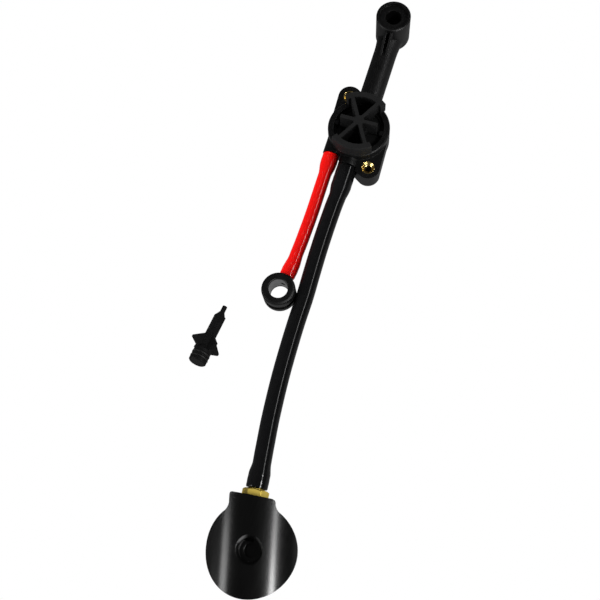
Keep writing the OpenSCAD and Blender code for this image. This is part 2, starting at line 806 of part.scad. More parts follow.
module cowl_outline() {
  circle(r = cowl_r);
  // neck with its two corners rounded off
  polygon([
    [-neck_w / 2, 0], [neck_w / 2, 0], [neck_w / 2, neck_short - neck_round],
    [neck_w / 2 - neck_ease, neck_short - neck_ease],
    [neck_w / 2 - neck_round, neck_short - neck_slope * neck_round],
    [neck_round - neck_w / 2, neck_long + neck_slope * neck_round],
    [neck_ease - neck_w / 2, neck_long - neck_ease], [-neck_w / 2, neck_long - neck_round]
  ]);
  for (s = [0, 1]) mirror([s, 0]) difference() {
    polygon([
      [0, neck_cy * touch], [neck_cx * touch, neck_cy * touch], [neck_cx, neck_cy],
      [neck_w / 2, neck_cy], [0, neck_cy]
    ]);
    translate([neck_cx, neck_cy]) circle(r = neck_fillet + neck_bite);
  }
}

// solid arch of a given radius, lying along the cowl
module arch(r) {
  translate([0, 0, crown_z - arch_r]) rotate([-90, 0, 0])
    cylinder(r = r, h = 4 * cowl_r, center = true, $fn = 160);
}

module outlet_cowl() color("#1a1a1c") difference() {
  union() {
    translate([cowl_x, cowl_y, 0]) rotate([0, 0, cowl_turn]) {
      intersection() {
        linear_extrude(crown_z + 1) cowl_outline();
        difference() {
          arch(arch_r);
          arch(arch_r - cowl_t);
        }
      }
      intersection() {
        cylinder(r = post_r, h = crown_z + 1);
        arch(arch_r - cowl_t / 2);
      }
    }
    // block that takes the brass thread
    intersection() {
      at_fitting() translate([-block_w / 2, -crown_z, -hex_back - fit_washer_t - block_len])
        cube([block_w, crown_z + fit_z - block_foot, block_len]);
      translate([cowl_x, cowl_y, 0]) rotate([0, 0, cowl_turn]) arch(arch_r - cowl_t / 2);
    }
  }
  // screw hole, head recess and its flared edge
  translate([cowl_x, cowl_y, screw_floor]) cylinder(d = screw_d, h = crown_z);
  translate([cowl_x, cowl_y, head_z]) cylinder(d = head_d, h = crown_z);
  translate([cowl_x, cowl_y, crown_z - rim_flare])
    cylinder(d1 = head_d, d2 = head_d + 2 * rim_flare, h = rim_flare + eps);
  // thread seat
  at_fitting() translate([0, 0, -hex_back - fit_washer_t - 2 * block_len])
    cylinder(r = thread_d / 2 + fit_gap, h = 2 * block_len + fit_washer_t);
  // room for the hex and its washer under the neck
  at_fitting() translate([0, 0, -hex_back - fit_washer_t])
    cylinder(d = hex_af / cos(30) + clear, h = hex_len + fit_washer_t);
}

// frame of the loose plug: +Z of the children runs from its base to its tip
module at_plug() {
  translate([plug_x, plug_y, plug_z]) rotate([0, 0, plug_dir]) rotate([plug_tilt, 0, 0])
    rotate([-90, 0, 0]) children();
}

module plug_body() color("#1d1d1f") at_plug() {
  difference() {
    rotate_extrude() polygon([
      [0, 0], [plug_r - edge, 0], [plug_r, edge], [plug_r, barrel_len - edge],
      [plug_r - edge, barrel_len], [shank_r * cos(30), barrel_len + shank_ease],
      [0, barrel_len + shank_ease]
    ]);
    for (z = [groove_1, groove_2])
      translate([0, 0, z - plug_seal_t - oring_room]) difference() {
        cylinder(r = plug_r + 1, h = 2 * (plug_seal_t + oring_room));
        cylinder(r = plug_r + plug_seal_over - 2 * plug_seal_t - oring_room,
          h = 2 * (plug_seal_t + oring_room));
      }
  }
  translate([0, 0, barrel_len - edge])
    cylinder(r = shank_r, h = plug_len - tip_len - tip_cone - barrel_len + edge, $fn = 6);
  translate([0, 0, plug_len - tip_len - tip_cone - eps])
    cylinder(r1 = shank_r * cos(30), r2 = tip_r, h = tip_cone + 2 * eps);
  translate([0, 0, plug_len - tip_len - eps]) cylinder(r = tip_r, h = tip_len);
  for (a = [45:90:315]) rotate([0, 0, a])
    translate([0, fin_t / 2, 0]) rotate([90, 0, 0]) linear_extrude(fin_t) polygon([
      [0, barrel_len - edge], [plug_r - 2 * edge, barrel_len - edge], [fin_reach, fin_back],
      [fin_reach, fin_back + fin_land], [shank_r * cos(30), fin_front], [0, fin_front]
    ]);
}

module plug_seals() color("#0f0f10") at_plug()
  for (z = [groove_1, groove_2])
    translate([0, 0, z]) torus(plug_r + plug_seal_over - plug_seal_t, plug_seal_t);

valve_body();
inlet_arm();
arm_seal();
ear_inserts();
port_seals();
rotor();
rotor_seals();
thrust_washer();
bonnet();
bonnet_seal();
spindle_seal();
retaining_ring();
turning_handle();
handle_pin();
black_hose();
red_hose();
drain_ring();
ring_sleeve();
brass_fitting();
fitting_washer();
outlet_cowl();
plug_body();
plug_seals();
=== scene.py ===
# %% [markdown]
# # A hose-fed turning valve, dressed for a product photograph
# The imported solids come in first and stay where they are. This lesson gives each of them
# a finish, swaps the plain hoses, inserts and brass fitting for finer surfaces, and sets the
# camera and the light. Lengths are metres, and `MM` turns the maker's
# millimetres into them.

# %% Load the solids
import json
import math

import bpy
import numpy as np
from mathutils import Matrix, Quaternion, Vector


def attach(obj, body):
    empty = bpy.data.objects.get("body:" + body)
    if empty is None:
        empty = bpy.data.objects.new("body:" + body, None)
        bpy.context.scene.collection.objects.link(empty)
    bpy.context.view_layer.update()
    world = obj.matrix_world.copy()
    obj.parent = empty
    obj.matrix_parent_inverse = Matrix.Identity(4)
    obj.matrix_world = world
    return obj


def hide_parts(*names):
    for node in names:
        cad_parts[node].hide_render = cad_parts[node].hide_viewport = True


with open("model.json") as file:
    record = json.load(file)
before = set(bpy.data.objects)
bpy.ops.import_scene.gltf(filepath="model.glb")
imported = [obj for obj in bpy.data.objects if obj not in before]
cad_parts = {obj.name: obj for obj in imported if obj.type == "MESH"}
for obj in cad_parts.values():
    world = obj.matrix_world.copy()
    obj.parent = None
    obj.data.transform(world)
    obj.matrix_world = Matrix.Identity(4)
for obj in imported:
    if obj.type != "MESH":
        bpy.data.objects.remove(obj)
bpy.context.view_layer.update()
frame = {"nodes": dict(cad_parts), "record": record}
nodes = frame["nodes"]
MM = 0.001
TAU = 2 * math.pi

# %% [markdown]
# ## The camera
# The picture was taken from steeply above, with the camera turned a little about its own
# axis. A camera could be placed by eye, but here its place was worked out from the ears, the
# socket, the ring and the cowl, so the numbers are written down: the camera is aimed at a
# point on the table and then rolled.

# %% Camera
CAMERA_AT = Vector((84.87, -279.65, 583.35)) * MM
AIM_AT = Vector((-4.3, -125.2, 0.0)) * MM
ROLL = math.radians(-12.9)
camera_data = bpy.data.cameras.new("product_camera")
camera_data.sensor_width = 36.0
camera_data.lens = 54.0
camera = bpy.data.objects.new("product_camera", camera_data)
camera.location = CAMERA_AT
level = (AIM_AT - CAMERA_AT).to_track_quat("-Z", "Y")
camera.rotation_euler = (level @ Quaternion((0, 0, 1), ROLL)).to_euler()
bpy.context.scene.collection.objects.link(camera)
bpy.context.scene.camera = camera
print("camera", round((AIM_AT - CAMERA_AT).length, 3), "m from its aim")

# %% [markdown]
# ## Surfaces as grids
# Most new pieces here are a grid of points wrapped into a tube or a ring. One helper turns
# such a grid into a mesh: it works out every four-cornered face from the grid's own row and
# column numbers, so no face is written by hand. Closed rows and columns join the last point
# to the first, which leaves no seam. The volume that it prints is positive when the faces
# point outwards.


# %% Grid helpers
def grid_faces(rows, columns, first=0):
    """Corner numbers of every quad of a grid that is closed both ways: (i, j), (i, j+1),
    (i+1, j+1), (i+1, j), with the counts taken round the end."""
    i, j = np.arange(rows)[:, None], np.arange(columns)[None, :]
    down, right = (i + 1) % rows, (j + 1) % columns
    corners = (i * columns + j, i * columns + right, down * columns + right, down * columns + j)
    return np.stack(np.broadcast_arrays(*corners), axis=-1).reshape(-1, 4) + first


def volume_of(points, faces):
    """The sum over the faces of corner . (next corner x last corner) / 6, where each quad counts
    as two triangles."""
    a, b, c, d = (points[faces[:, k]] for k in range(4))
    return float((a * (np.cross(b, c) + np.cross(c, d))).sum() / 6)


def piece_from_grids(name, grids, node, smooth=40):
    """One mesh object from several closed grids, which stands for a node: it is hung on the valve
    and the node is hidden. The grids' points are stacked, and each grid's faces start at its own
    first point."""
    firsts = np.cumsum([0] + [grid.shape[0] * grid.shape[1] for grid in grids])
    points = np.concatenate([grid.reshape(-1, 3) for grid in grids])
    faces = np.concatenate([
        grid_faces(*grid.shape[:2], first) for grid, first in zip(grids, firsts)
    ])
    mesh = bpy.data.meshes.new(name)
    mesh.from_pydata(points.tolist(), [], faces.tolist())
    mesh.validate()
    mesh.polygons.foreach_set("use_smooth", np.ones(len(mesh.polygons), dtype=bool))
    mesh.set_sharp_from_angle(angle=math.radians(smooth))
    piece = bpy.data.objects.new(name, mesh)
    bpy.context.scene.collection.objects.link(piece)
    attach(piece, "valve")
    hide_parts(node)
    print(name, len(mesh.polygons), "faces,", round(volume_of(points, faces) * 1e6, 3), "cm3")
    return piece


# %% [markdown]
# ## The two hoses
# A hose is a pipe of one length that bends. It could be a bevelled curve, but a hose is also
# stretched where it is pushed over a barbed tail, so its radius changes on the way. Here a
# round profile is carried along a smooth path: the outer wall forward and the bore back
# again, which closes the hose at both ends as one skin with real wall thickness.


# %% Hose helpers
BARB_STEP, BARB_WAVE = 5.0, 0.04  # the barbs inside show as faint waves
LIP_ROUND, LIP_REACH = 0.4, 0.45  # how much and how far the cut end is rounded off
BORE_EASE = 5.0  # length over which the bore narrows past the tail


def smooth_path(stations, count):
    """Points at even steps along a smooth line through the stations: between two stations it is
    the cubic whose end slopes are the chords of their neighbours."""
    stations = np.asarray(stations) * MM
    run = np.concatenate([[0.0], np.cumsum(np.linalg.norm(np.diff(stations, axis=0), axis=1))])
    slope = np.gradient(stations, run, axis=0)
    s = np.linspace(0.0, run[-1], count)
    k = np.clip(np.searchsorted(run, s, side="right") - 1, 0, len(run) - 2)
    span = (run[k + 1] - run[k])[:, None]
    t = ((s - run[k])[:, None]) / span
    a, b, ma, mb = stations[k], stations[k + 1], slope[k] * span, slope[k + 1] * span
    return (
        (2 * t**3 - 3 * t**2 + 1) * a + (t**3 - 2 * t**2 + t) * ma
        + (3 * t**2 - 2 * t**3) * b + (t**3 - t**2) * mb
    ), s


def tube_rings(path, radius, sides):
    """Rings about a path: at each point, radius times (cos a * sideways - sin a * upward), where
    sideways is level and square to the path, and upward is square to both."""
    along = np.gradient(path, axis=0)
    along /= np.linalg.norm(along, axis=1, keepdims=True)
    sideways = np.cross(along, [0.0, 0.0, 1.0])
    sideways /= np.linalg.norm(sideways, axis=1, keepdims=True)
    upward = np.cross(sideways, along)
    a = np.arange(sides)[None, :, None] * TAU / sides
    ring = np.cos(a) * sideways[:, None] - np.sin(a) * upward[:, None]
    return path[:, None] + radius[:, None, None] * ring


def step_down(s, start, length):
    """1 before start, 0 after start + length, and a smooth S between them."""
    t = np.clip((s - start) / length, 0.0, 1.0)
    return 1 - t * t * (3 - 2 * t)


def hose(name, node, stations, plain, bore, ends, count, sides=48):
    """A skin whose outer radius is plain in the middle and grows to wide at each end. An end is
    (wide, wide bore, hold, ease, bite): hold is how far the swelling lasts, ease how far it takes
    to fade, and bite how far the tail reaches in. Each lip is rounded off."""
    path, s = smooth_path(stations, count)
    outer, inner = np.full(count, float(plain)), np.full(count, float(bore))
    for run, (wide, wide_bore, hold, ease, bite) in zip((s, s[-1] - s), ends):
        grip = step_down(run, hold * MM, ease * MM)
        outer += (wide - plain) * grip + BARB_WAVE * grip * np.cos(run / (BARB_STEP * MM) * TAU)
        outer -= LIP_ROUND * np.exp(-run / (LIP_REACH * MM))
        inner += (wide_bore - bore) * step_down(run, bite * MM, BORE_EASE * MM)
    outside, inside = (tube_rings(path, radius * MM, sides) for radius in (outer, inner))
    skin = np.concatenate([outside, inside[::-1]])
    piece = piece_from_grids(name, [skin], node, smooth=80)
    length = float(np.linalg.norm(np.diff(path, axis=0), axis=1).sum())
    print(name, round(length, 4), "m long")
    return piece


# %% [markdown]
# ## The black hose
# The long hose runs from the straight tail of the body to the brass fitting and lies on the
# table in between. A simulation could find such a line, but the photograph already shows it,
# so the stations follow the picture, and both ends are in line with what they are pushed on.

# %% Black hose
BLACK_ROUTE = [
    (-0.6, -26.3, 8.6), (-0.6, -34, 8.6), (-0.6, -41.5, 8.6), (-0.6, -45.5, 8.6), (-0.8, -50, 8.5),
    (-1.1, -54, 8.3), (-1.5, -64, 7.8), (-1.8, -78, 7), (-1.8, -92, 6.4), (-1.4, -108, 6.2),
    (-0.9, -124, 6.2), (-1, -142, 6.2), (-0.6, -161, 6.2), (0.1, -178, 6.2), (1.5, -197, 6.3),
    (3, -212, 6.7), (4.6, -224, 7.3), (5.7, -232, 7.8), (6.5, -237.59, 7.9), (7.36, -245.75, 7.9),
    (8.16, -253.4, 7.9),
]
black_tube = hose(
    "black_tube", "black_hose", BLACK_ROUTE, plain=6.0, bore=4.0,
    ends=[(7.04, 5.2, 15.5, 8.0, 16.0), (7.04, 5.2, 8.3, 8.0, 17.0)], count=336,
)

# %% [markdown]
# ## The red hose
# The short hose joins the side tail to the stub of the drain ring. It could be a scaled copy
# of the black one, but its route is another and its two tails differ in size, so it has its
# own stations and its own ends.

# %% Red hose
RED_ROUTE = [
    (-14, -20.5, 8.6), (-14, -27.2, 8.6), (-14, -32.2, 8.6), (-14, -37.2, 8.6), (-14, -44, 8.5),
    (-14, -52, 8.3), (-14, -60, 8), (-14.1, -69, 7.8), (-14.4, -79, 7.6), (-14.8, -90, 7.5),
    (-15.2, -97, 7.5), (-15.29, -102.28, 7.5), (-16.04, -108.43, 7.5), (-16.74, -114.09, 7.5),
]
red_tube = hose(
    "red_tube", "red_hose", RED_ROUTE, plain=4.5, bore=3.0,
    ends=[(5.78, 4.4, 6.7, 9.5, 12.0), (5.4, 4.2, 5.0, 12.0, 12.5)], count=168,
)

# %% [markdown]
# ## Threaded inserts in the ears
# Each ear holds a brass insert with a wide countersink and a screw thread. The thread could
# be a spiral curve with a profile, but a bore whose radius follows a helix is simpler: at
# height z and angle a, the radius rises and falls with z / pitch - a / turn.


# %% Inserts
def helix_wave(z, angle, pitch):
    """A triangle wave between 0 and 1 that climbs one pitch for each turn."""
    return np.abs(2 * ((z / pitch - angle / TAU) % 1.0) - 1)


PITCH = 1.0  # of the threads in the inserts and on the fitting
THREAD_ROWS = 132
INSERT_REACH = 28.1  # from the turning axis to each insert


def threaded_insert(
    turn, foot=0.3, top=13.0, sink=1.9, crest=2.46, depth=0.5, runout=0.8, columns=72
):
    """A turned skin about an upright line at this turn: up the outside, in over the narrow face,
    down the countersink, and down the bore with its thread, which fades at both ends. The rows
    of the outside are (radius, height)."""
    angle = np.arange(columns)[None, :] * TAU / columns
    wall = [(2.8, foot), (4.35, foot), (4.6, foot + 0.25), (4.6, 6.0), (4.6, top - 0.22)]
    rim = [(4.54, top - 0.07), (4.4, top), (4.24, top - 0.01), (4.14, top - 0.08)]
    countersink = [(3.4, top - 0.93), (2.66, top - sink + 0.12)]
    outside = np.array(wall + rim + countersink)
    bore = np.linspace(top - sink, foot, THREAD_ROWS)[:, None]
    fade = np.clip((bore - foot) / runout, 0, 1) * np.clip((top - sink - bore) / runout, 0, 1)
    radius = np.concatenate([
        np.repeat(outside[:, :1], columns, 1),
        crest + depth * fade * helix_wave(bore, angle, PITCH),
    ])
    height = np.concatenate([np.repeat(outside[:, 1:], columns, 1), np.repeat(bore, columns, 1)])
    x, y = INSERT_REACH * math.cos(turn), INSERT_REACH * math.sin(turn)
    return np.stack([x + radius * np.cos(angle), y + radius * np.sin(angle), height], axis=-1) * MM


ear_turn = math.radians(119.5)
thread_inserts = piece_from_grids(
    "thread_inserts", [threaded_insert(ear_turn), threaded_insert(ear_turn + math.pi)],
    "ear_inserts",
)

# %% [markdown]
# ## Brass hose fitting
# The fitting is turned from hexagon bar: the bar's corners are cut back to a cone at the
# face, a barbed tail goes into the hose and a thread into the cowl. A hexagon is also a
# radius that depends on the angle, so the whole piece is one turned skin whose radius is
# the smaller of the hexagon and the cone where the bar is left.

# %% Fitting
FITTING_AT = np.array([8.443, -256.089, 7.9])
fitting_turn = math.radians(96.0)


def hex_radius(angle, across):
    """Distance to the side of a hexagon that has a corner at angle 0."""
    return across / 2 / np.cos(angle % (TAU / 6) - TAU / 12)


def fitting_skin(
    across=15.0, face=7.15, back=-5.0, front=2.0, tail=2.4, run=10.9, root=4.4, ridge=0.6,
    columns=192,
):
    """A turned skin along the fitting's own line: along the thread, over the hexagon and its cone,
    the collar and the barbs, and back through the bore. The rows of collar, barbs and bore are
    (radius, distance along the line)."""
    angle = np.arange(columns)[None, :] * TAU / columns
    end = back - run
    thread = np.linspace(end, back - 0.02, THREAD_ROWS)[:, None]
    thread_fade = np.clip((thread - end) / PITCH, 0, 1)
    bar = np.concatenate([[back], np.linspace(front - 1.0, front, 20)])[:, None]
    cone = face + (front - bar) / math.tan(math.radians(30))
    collar = [(5.7, front), (5.7, tail - 0.1), (5.6, tail)]
    barbs = [
        (root, tail), (root, 7.73), (5.2, 8.03), (5.2, 8.33), (root, 13.07), (5.2, 13.37),
        (5.2, 13.67), (root, 18.2), (4.2, 18.4),
    ]
    bore = [(2.9, 18.4), (2.7, 18.2), (2.7, end + 0.1), (2.9, end - 0.1), (4.2, end - 0.1)]
    turned = np.array(collar + barbs + bore)
    radius = np.concatenate([
        root + ridge * thread_fade * helix_wave(thread, angle, PITCH),
        np.minimum(hex_radius(angle, across), cone),
        np.repeat(turned[:, :1], columns, 1),
    ])
    along = np.concatenate([np.repeat(rows, columns, 1) for rows in (thread, bar, turned[:, 1:])])
    level = np.array([math.sin(fitting_turn), -math.cos(fitting_turn), 0.0])
    down = np.array([0.0, 0.0, -1.0])
    forward = np.array([math.cos(fitting_turn), math.sin(fitting_turn), 0.0])
    spoke = np.cos(angle)[..., None] * level + np.sin(angle)[..., None] * down
    return (FITTING_AT + radius[..., None] * spoke + along[..., None] * forward) * MM


hose_fitting = piece_from_grids(
    "hose_fitting", [fitting_skin()], "brass_fitting", smooth=28
)

# %% [markdown]
# ## Shader sums in Python
# A material is a net of nodes, and long nets are hard to read. The class below wraps one
# socket so that `1 - mask` or `grain * 0.2` adds the Math node by itself, and its `node`
# method adds any other node: first its settings, then what feeds its sockets.


# %% Shader class
class Wire:
    """One output socket in a node tree, usable in Python sums."""

    def __init__(self, tree, socket=None):
        self.tree, self.socket = tree, socket

    def node(self, kind, settings=None, feeds=None, out=0):
        """Adds a node of this kind, sets its settings, fills its sockets, and wraps one output."""
        made = self.tree.nodes.new(kind)
        for key, value in (settings or {}).items():
            setattr(made, key, value)
        for key, value in (feeds or {}).items():
            if isinstance(value, Wire):
                self.tree.links.new(value.socket, made.inputs[key])
            else:
                made.inputs[key].default_value = value
        return Wire(self.tree, made.outputs[out])

    def sum(self, how, first, second):
        return self.node("ShaderNodeMath", {"operation": how}, {0: first, 1: second})

    def __add__(self, other):
        return self.sum("ADD", self, other)

    def __sub__(self, other):
        return self.sum("SUBTRACT", self, other)

    def __rsub__(self, other):
        return self.sum("SUBTRACT", other, self)

    def __mul__(self, other):
        return self.sum("MULTIPLY", self, other)

    __radd__, __rmul__ = __add__, __mul__

    def over(self, low, high):
        """0 at low and beyond it, 1 at high and beyond it, and a straight line between them. Low
        may be the larger of the two."""
        sockets = {"Value": self, "From Min": low, "From Max": high}
        return self.node("ShaderNodeMapRange", {"clamp": True}, sockets)

    def blend(self, first, second):
        """The colour first where this is 0 and second where it is 1."""
        sockets = {0: self, 6: first, 7: second}
        return self.node("ShaderNodeMix", {"data_type": "RGBA"}, sockets, out=2)


def noise(place, scale, detail=3.0, roughness=0.5):
    """Cloudy noise with features about 1/scale of a metre across."""
    return place.node(
        "ShaderNodeTexNoise", None,
        {"Vector": place, "Scale": scale, "Detail": detail, "Roughness": roughness},
    )


def stretched(place, factors):
    """The same place with each axis multiplied, so noise on it draws out along an axis."""
    return place.node("ShaderNodeVectorMath", {"operation": "MULTIPLY"}, {0: place, 1: factors})


def new_finish(name, constants):
    """An empty material: its shader with constants set on its own sockets, and its place wire."""
    finish = bpy.data.materials.new(name)
    finish.use_nodes = True
    tree = finish.node_tree
    shader = tree.nodes["Principled BSDF"]
    for key, value in constants.items():
        shader.inputs[key].default_value = value
    place = Wire(tree).node("ShaderNodeTexCoord", out=3)
    return finish, shader, place


def feed(shader, place, edge=0.0, **wires):
    """Links wires to the shader's sockets; bump takes (height, distance in metres, strength). An
    edge radius lets light run over a corner as if it were rounded by that much."""
    names = {"colour": "Base Color", "roughness": "Roughness"}
    for key, wire in wires.items():
        if key == "bump":
            height, distance, strength = wire
            sockets = {"Height": height, "Distance": distance, "Strength": strength}
            if edge:
                sockets["Normal"] = place.node("ShaderNodeBevel", {"samples": 6}, {"Radius": edge})
            wire = place.node("ShaderNodeBump", None, sockets)
            place.tree.links.new(wire.socket, shader.inputs["Normal"])
        else:
            place.tree.links.new(wire.socket, shader.inputs[names[key]])


# %% [markdown]
# ## Black moulded plastic
# The body, arm, ring, handle and plug are plastic from a mould with a fine grain: nearly
# black, with soft scuffs that catch the light. The grain could be an image, but noise about
# a quarter of a millimetre across needs none and has no seams. It feeds the bump, and larger
# noise makes the gloss uneven. The handle is a little paler, the plug duller, and the pieces
# deep in the handle's pockets matt, so one function makes all four from a few numbers.


# %% Moulded plastic
def moulded_plastic(name, dark, pale, rough, grain=1.0, gloss=0.35):
    """Two near tones, gloss that clouds and scuffs make uneven, and a grain in the bump, whose
    depth is multiplied by grain."""
    finish, shader, place = new_finish(name, {"Specular IOR Level": gloss, "IOR": 1.5})
    fine = noise(place, 4200.0, 2.0)
    cloud = noise(place, 130.0, 4.0, 0.6)
    scuff = noise(stretched(place, (900.0, 160.0, 900.0)), 1.0, 3.0, 0.65).over(0.62, 0.8)
    tone = (cloud * 0.6 + fine * 0.4).over(0.3, 0.7)
    feed(
        shader, place, edge=0.00035,
        colour=tone.blend(dark, pale),
        roughness=rough + cloud.over(0.3, 0.7) * 0.10 + scuff * 0.08 - fine * 0.04,
        bump=(fine * 0.8 + cloud * 0.2, 0.00006 * grain, 0.35),
    )
    return finish


black_plastic = moulded_plastic(
    "black_plastic", (0.0012, 0.0012, 0.0013, 1), (0.0028, 0.0028, 0.003, 1), 0.42, gloss=0.25
)
handle_plastic = moulded_plastic(
    "handle_plastic", (0.010, 0.010, 0.0102, 1), (0.0145, 0.0145, 0.0148, 1), 0.6, gloss=0.12
)
dull_plastic = moulded_plastic(
    "dull_plastic", (0.003, 0.003, 0.0031, 1), (0.006, 0.006, 0.0062, 1), 0.55, gloss=0.1
)
pocket_plastic = moulded_plastic(
    "pocket_plastic", (0.0015, 0.0015, 0.0017, 1), (0.003, 0.003, 0.0033, 1), 0.75, gloss=0.12
)
print("made", black_plastic.name, handle_plastic.name, dull_plastic.name, pocket_plastic.name)

# %% [markdown]
# ## Satin plastic of the cowl
# The cowl is smoother than the valve: its arch shows two soft lengthwise stripes of light.
# A lower roughness gives that, with faint drawn streaks along the cowl so that the stripes
# are not perfectly even.

# %% Satin plastic
satin_plastic, satin_shader, place = new_finish(
    "satin_plastic", {"Specular IOR Level": 0.5, "IOR": 1.5}
)
streak = noise(stretched(place, (1500.0, 110.0, 300.0)), 1.0, 3.0)
fine = noise(place, 5200.0, 2.0)
feed(
    satin_shader, place, edge=0.0004,
    colour=streak.over(0.35, 0.65).blend(
        (0.0008, 0.0008, 0.0008, 1), (0.0016, 0.0017, 0.0017, 1)
    ),
    roughness=0.19 + streak.over(0.3, 0.7) * 0.03 + fine * 0.02,
    bump=(fine * 0.6 + streak * 0.4, 0.00002, 0.15),
)
print("made", satin_plastic.name)


# %% [markdown]
# ## Hose rubber
# Both hoses are shiny, with the fine lengthwise draw lines of an extruded tube. The lines
# are noise drawn out along Y, the way the hoses run, so they follow the length closely
# enough for these gentle bends.


# %% Rubber
def extruded_rubber(name, deep, light, rough, gloss=0.5, lines=0.25):
    """Two near tones with draw lines along Y in the colour, the gloss and the bump."""
    finish, shader, place = new_finish(name, {"Specular IOR Level": gloss, "IOR": 1.5})
    draw = noise(stretched(place, (2400.0, 45.0, 2400.0)), 1.0, 3.0)
    cloud = noise(place, 260.0, 3.0)
    feed(
        shader, place,
        colour=(cloud * 0.5 + draw * 0.5).over(0.3, 0.7).blend(deep, light),
        roughness=rough + draw.over(0.35, 0.65) * 0.03 + cloud * 0.03,
        bump=(draw * 0.7 + cloud * 0.3, 0.00004, lines),
    )
    return finish


black_rubber = extruded_rubber(
    "black_rubber", (0.0055, 0.0055, 0.006, 1), (0.009, 0.009, 0.0096, 1),
    rough=0.06, gloss=0.2, lines=0.15,
)
red_rubber = extruded_rubber(
    "red_rubber", (0.87, 0.005, 0.004, 1), (0.95, 0.008, 0.006, 1),
    rough=0.05, gloss=0.4, lines=0.08,
)
seal_rubber = extruded_rubber(
    "seal_rubber", (0.006, 0.006, 0.006, 1), (0.012, 0.012, 0.012, 1), rough=0.5, gloss=0.2
)
print("made", black_rubber.name, red_rubber.name, seal_rubber.name)


# %% [markdown]
# ## Brass, steel and the grey sleeve
# Turned metal carries fine rings from the tool. Noise stretched flat gives those rings on
# pieces that stand upright, and a slow cloud of tarnish makes the brass uneven. The hexagon
# bar is left as drawn, so it is duller than the turned inserts. Below the countersink the
# inserts' threads are painted dark and rougher: painted shade for the deep bore.


# %% Metals
UPRIGHT_RINGS = (300.0, 300.0, 5200.0)  # tool rings round pieces that stand upright
BAR_RINGS = (2600.0, 400.0, 2600.0)  # drawn lines along the hexagon bar
# Painted shade: the dark colour given to the deep part of each insert's bore.
BORE_SHADE_COLOUR = (0.03, 0.022, 0.012, 1)


def turned_metal(name, clean, dull, rough, flat=UPRIGHT_RINGS, bore_shade=None, edge=0.0):
    """Metal with tool marks and a cloud of tarnish. If a pair of heights is given, painted shade,
    a dark colour with rougher gloss, fills the metal below the lower one and gives way to clean
    metal at the upper one."""
    finish, shader, place = new_finish(name, {"Metallic": 1.0})
    tool = noise(stretched(place, flat), 1.0, 2.0)
    cloud = noise(place, 420.0, 4.0, 0.6).over(0.35, 0.75)
    colour = cloud.blend(clean, dull)
    gloss = rough + tool * 0.08 + cloud * 0.10
    # Painted shade: below the lower height the colour turns dark and the gloss rougher, standing
    # in for the shade deep in a bore; above the upper height the metal is clean.
    if bore_shade:
        upright = place.node("ShaderNodeSeparateXYZ", None, {0: place}, out=2)
        clear = upright.over(*bore_shade)
        colour = clear.blend(BORE_SHADE_COLOUR, colour)
        gloss = gloss + (1 - clear) * 0.4
    feed(shader, place, edge, colour=colour, roughness=gloss, bump=(tool, 0.00003, 0.3))
    return finish


# The inserts get painted shade low in their bores, below the countersink.
brass = turned_metal(
    "brass", (0.95, 0.74, 0.30, 1), (0.80, 0.58, 0.20, 1), 0.08, bore_shade=(0.0106, 0.0113)
)
hex_brass = turned_metal(
    "hex_brass", (0.97, 0.75, 0.16, 1), (0.82, 0.61, 0.12, 1), 0.44, BAR_RINGS, edge=0.0006
)
grey_metal = turned_metal(
    "grey_metal", (0.29, 0.294, 0.298, 1), (0.21, 0.214, 0.218, 1), 0.30
)
steel = turned_metal("steel", (0.66, 0.67, 0.68, 1), (0.52, 0.53, 0.54, 1), 0.22)
print("made", brass.name, hex_brass.name, grey_metal.name, steel.name)

# %% [markdown]
# ## Inner pieces
# The rotor, its washer and the port seals sit inside and are hardly seen, but each still
# gets its own finish: ivory and white plastic with a faint flow pattern, and a pressed-fibre
# washer with short flecks.

# %% Inner finishes
white_plastic = moulded_plastic(
    "white_plastic", (0.72, 0.71, 0.67, 1), (0.80, 0.79, 0.75, 1), 0.36, grain=0.4
)
ivory_plastic = moulded_plastic(
    "ivory_plastic", (0.58, 0.54, 0.43, 1), (0.68, 0.64, 0.52, 1), 0.36, grain=0.4
)
fibre = moulded_plastic(
    "fibre", (0.16, 0.08, 0.045, 1), (0.30, 0.18, 0.10, 1), 0.7, grain=3.0
)
print("made", white_plastic.name, ivory_plastic.name, fibre.name)

# %% [markdown]
# ## Finishes on the pieces
# Each solid that stays keeps its mesh and gets the finish of its slot. Naming a finish for
# every piece would be a long list, so the slots of the record decide, and a short second list
# gives a few pieces a finish of their own. The new pieces are dressed one by one.

# %% Dress the pieces
FINISH_OF = {
    "black_plastic": black_plastic, "satin_plastic": satin_plastic, "white_plastic": white_plastic,
    "ivory_plastic": ivory_plastic, "seal_rubber": seal_rubber, "black_rubber": black_rubber,
    "red_rubber": red_rubber, "brass": brass, "steel": steel, "grey_metal": grey_metal,
    "fibre": fibre,
}
for row in frame["record"]["subparts"]:
    solid = nodes[row["node"]]
    solid.data.materials.clear()
    solid.data.materials.append(FINISH_OF[row["material_slot"]])
for piece, finish in (
    (black_tube, black_rubber), (red_tube, red_rubber), (thread_inserts, brass),
    (hose_fitting, hex_brass),
):
    piece.data.materials.append(finish)
for name, finish in (
    ("turning_handle", handle_plastic), ("bonnet", pocket_plastic),
    ("retaining_ring", pocket_plastic), ("plug_body", dull_plastic),
):
    nodes[name].data.materials[0] = finish

# %% [markdown]
# ## The table
# The picture has a white table with no shadow on it. A plain white plane would need strong
# lamps and would still show shadows and grey corners, so this one gives off its own even
# white light and reflects none. Gloss does not mirror it, or the black pieces would turn grey.

